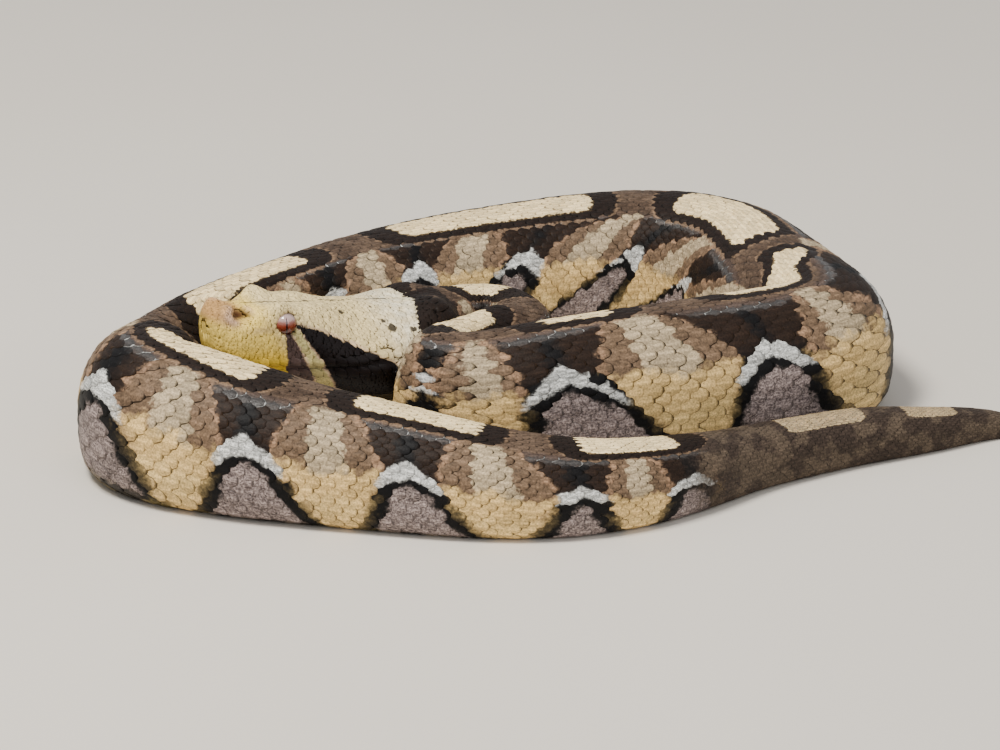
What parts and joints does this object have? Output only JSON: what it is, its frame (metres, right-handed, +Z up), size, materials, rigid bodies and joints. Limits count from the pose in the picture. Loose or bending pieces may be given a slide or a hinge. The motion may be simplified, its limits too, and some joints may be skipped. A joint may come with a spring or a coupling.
{
  "type": "coiled gaboon viper model",
  "caption": "Still life-size model of a Gaboon viper resting in a loose flat coil, head laid inside the coil; for museum, nature and scene displays",
  "frame": {"origin": "on the floor, under the middle of the coil's bounding box", "axes": "+X to the viewer's right along the coil's longest extent, toward the tail tip; +Y away from the front strand of the coil; +Z up"},
  "size_m": [0.4332, 0.3514, 0.0661],
  "materials": {
    "patterned_scales": "dry keeled scales in cream, brown, grey, purple-brown and black",
    "pale_head_scales": "small dry scales, cream and yellow with dark side marks",
    "eye": "wet gloss, silver-pink above and red-brown below, upright slit pupil"
  },
  "bodies": {
    "root": {"tail_tip": "patterned_scales", "tail": "patterned_scales", "trunk_1": "patterned_scales", "trunk_2": "patterned_scales", "trunk_3": "patterned_scales", "trunk_4": "patterned_scales", "trunk_5": "patterned_scales", "trunk_6": "patterned_scales", "trunk_7": "patterned_scales", "trunk_8": "patterned_scales", "trunk_9": "patterned_scales", "neck_1": "patterned_scales", "neck_2": "patterned_scales", "neck_3": "patterned_scales", "head": "pale_head_scales", "lower_jaw": "pale_head_scales", "eye_left": "eye", "eye_right": "eye"}
  },
  "joints": []
}
